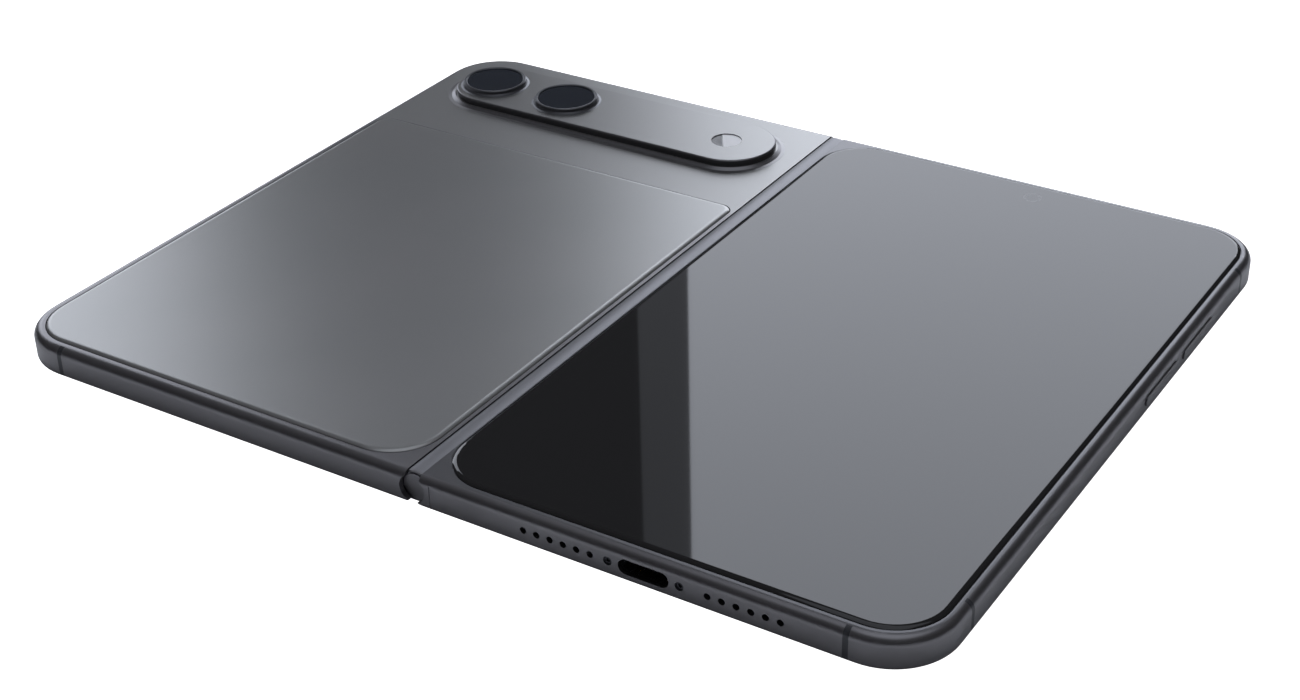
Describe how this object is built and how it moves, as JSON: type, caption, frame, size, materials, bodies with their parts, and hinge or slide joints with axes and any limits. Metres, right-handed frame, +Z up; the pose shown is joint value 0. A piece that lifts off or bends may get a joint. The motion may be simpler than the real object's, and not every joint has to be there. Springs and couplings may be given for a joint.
{
  "type": "foldable smartphone",
  "caption": "Book-type foldable smartphone lying open with its inner screen down: camera bar on one half, outer screen on the other, and a geared two-axis hinge in a narrow spine.",
  "frame": {"origin": "middle of the face the open phone lies on, on the fold line", "axes": "+X towards the half with the outer screen, +Y along the fold away from the edge with the port, +Z up from the inner screen to the cameras"},
  "size_m": [0.1683, 0.135, 0.0082],
  "materials": {
    "frame_metal": "satin anodised",
    "spine_metal": "satin anodised",
    "band_plastic": "smooth",
    "back_glass": "etched satin, coated behind",
    "ring_metal": "turned",
    "lens_glass": "polished",
    "flash_glass": "moulded",
    "lamp": "moulded",
    "black_plastic": "moulded",
    "battery_foil": "film-covered pouch",
    "board": "solder mask",
    "shield_steel": "stamped",
    "coil_copper": "wound",
    "inner_screen": "polished film",
    "outer_screen": "panel behind the cover glass",
    "cover_glass": "polished",
    "plate_steel": "rolled",
    "border_rubber": "soft moulded",
    "hinge_steel": "machined",
    "screw_steel": "blackened",
    "switch_metal": "stamped"
  },
  "bodies": {
    "camera_half": {"camera_frame": "frame_metal", "camera_antenna_bands": "band_plastic", "back_panel": "back_glass", "camera_bar": "frame_metal", "lens_rings": "ring_metal", "lens_glasses": "lens_glass", "camera_modules": "black_plastic", "flash_window": "flash_glass", "flash_lamp": "lamp", "camera_battery": "battery_foil", "main_board": "board", "board_shield": "shield_steel", "charging_coil": "coil_copper", "camera_display": "inner_screen", "camera_plate": "plate_steel", "camera_bezel": "border_rubber", "camera_wings": "hinge_steel", "camera_gears": "hinge_steel", "camera_pins": "hinge_steel", "camera_wing_screws": "screw_steel"},
    "spine": {"spine_cover": "spine_metal", "spine_end_caps": "frame_metal", "hinge_brackets": "hinge_steel", "display_fold": "inner_screen"},
    "camera_idler": {"camera_idlers": "hinge_steel"},
    "cover_idler": {"cover_idlers": "hinge_steel"},
    "cover_half": {"cover_frame": "frame_metal", "cover_antenna_bands": "band_plastic", "cover_glass": "cover_glass", "outer_display": "outer_screen", "front_camera": "black_plastic", "earpiece": "black_plastic", "usb_receptacle": "shield_steel", "usb_tongue": "black_plastic", "loudspeaker": "black_plastic", "microphone": "shield_steel", "vibration_motor": "shield_steel", "cover_battery": "battery_foil", "port_board": "board", "radio_board": "board", "bottom_screws": "screw_steel", "dome_switches": "switch_metal", "cover_display": "inner_screen", "cover_plate": "plate_steel", "cover_bezel": "border_rubber", "cover_wings": "hinge_steel", "cover_gears": "hinge_steel", "cover_pins": "hinge_steel", "cover_wing_screws": "screw_steel"},
    "volume_button": {"volume_button": "frame_metal"},
    "side_button": {"side_button": "frame_metal"}
  },
  "joints": [
    {"name": "camera_fold", "type": "hinge", "parent": "camera_half", "child": "spine", "pos_m": [-0.00255, 0, 0.0025], "axis": [0, 1, 0], "range_deg": [0, 90], "deforming": ["display_fold"]},
    {"name": "cover_fold", "type": "hinge", "parent": "spine", "child": "cover_half", "pos_m": [0.00255, 0, 0.0025], "axis": [0, 1, 0], "range_deg": [0, 90], "deforming": ["display_fold"]},
    {"name": "camera_idler_spin", "type": "hinge", "parent": "spine", "child": "camera_idler", "pos_m": [-0.00085, 0, 0.0025], "axis": [0, 1, 0], "range_deg": [0, 90]},
    {"name": "cover_idler_spin", "type": "hinge", "parent": "spine", "child": "cover_idler", "pos_m": [0.00085, 0, 0.0025], "axis": [0, 1, 0], "range_deg": [-90, 0]},
    {"name": "volume_press", "type": "slide", "parent": "cover_half", "child": "volume_button", "axis": [-1, 0, 0], "range_m": [0, 0.00025], "stiffness_N_per_m": 4000, "springref_m": -0.0001},
    {"name": "side_press", "type": "slide", "parent": "cover_half", "child": "side_button", "axis": [-1, 0, 0], "range_m": [0, 0.00025], "stiffness_N_per_m": 4000, "springref_m": -0.0001}
  ],
  "couplings": [
    {"joint": "cover_fold", "follows": "camera_fold", "ratio": 1},
    {"joint": "camera_idler_spin", "follows": "camera_fold", "ratio": 1},
    {"joint": "cover_idler_spin", "follows": "camera_fold", "ratio": -1}
  ]
}
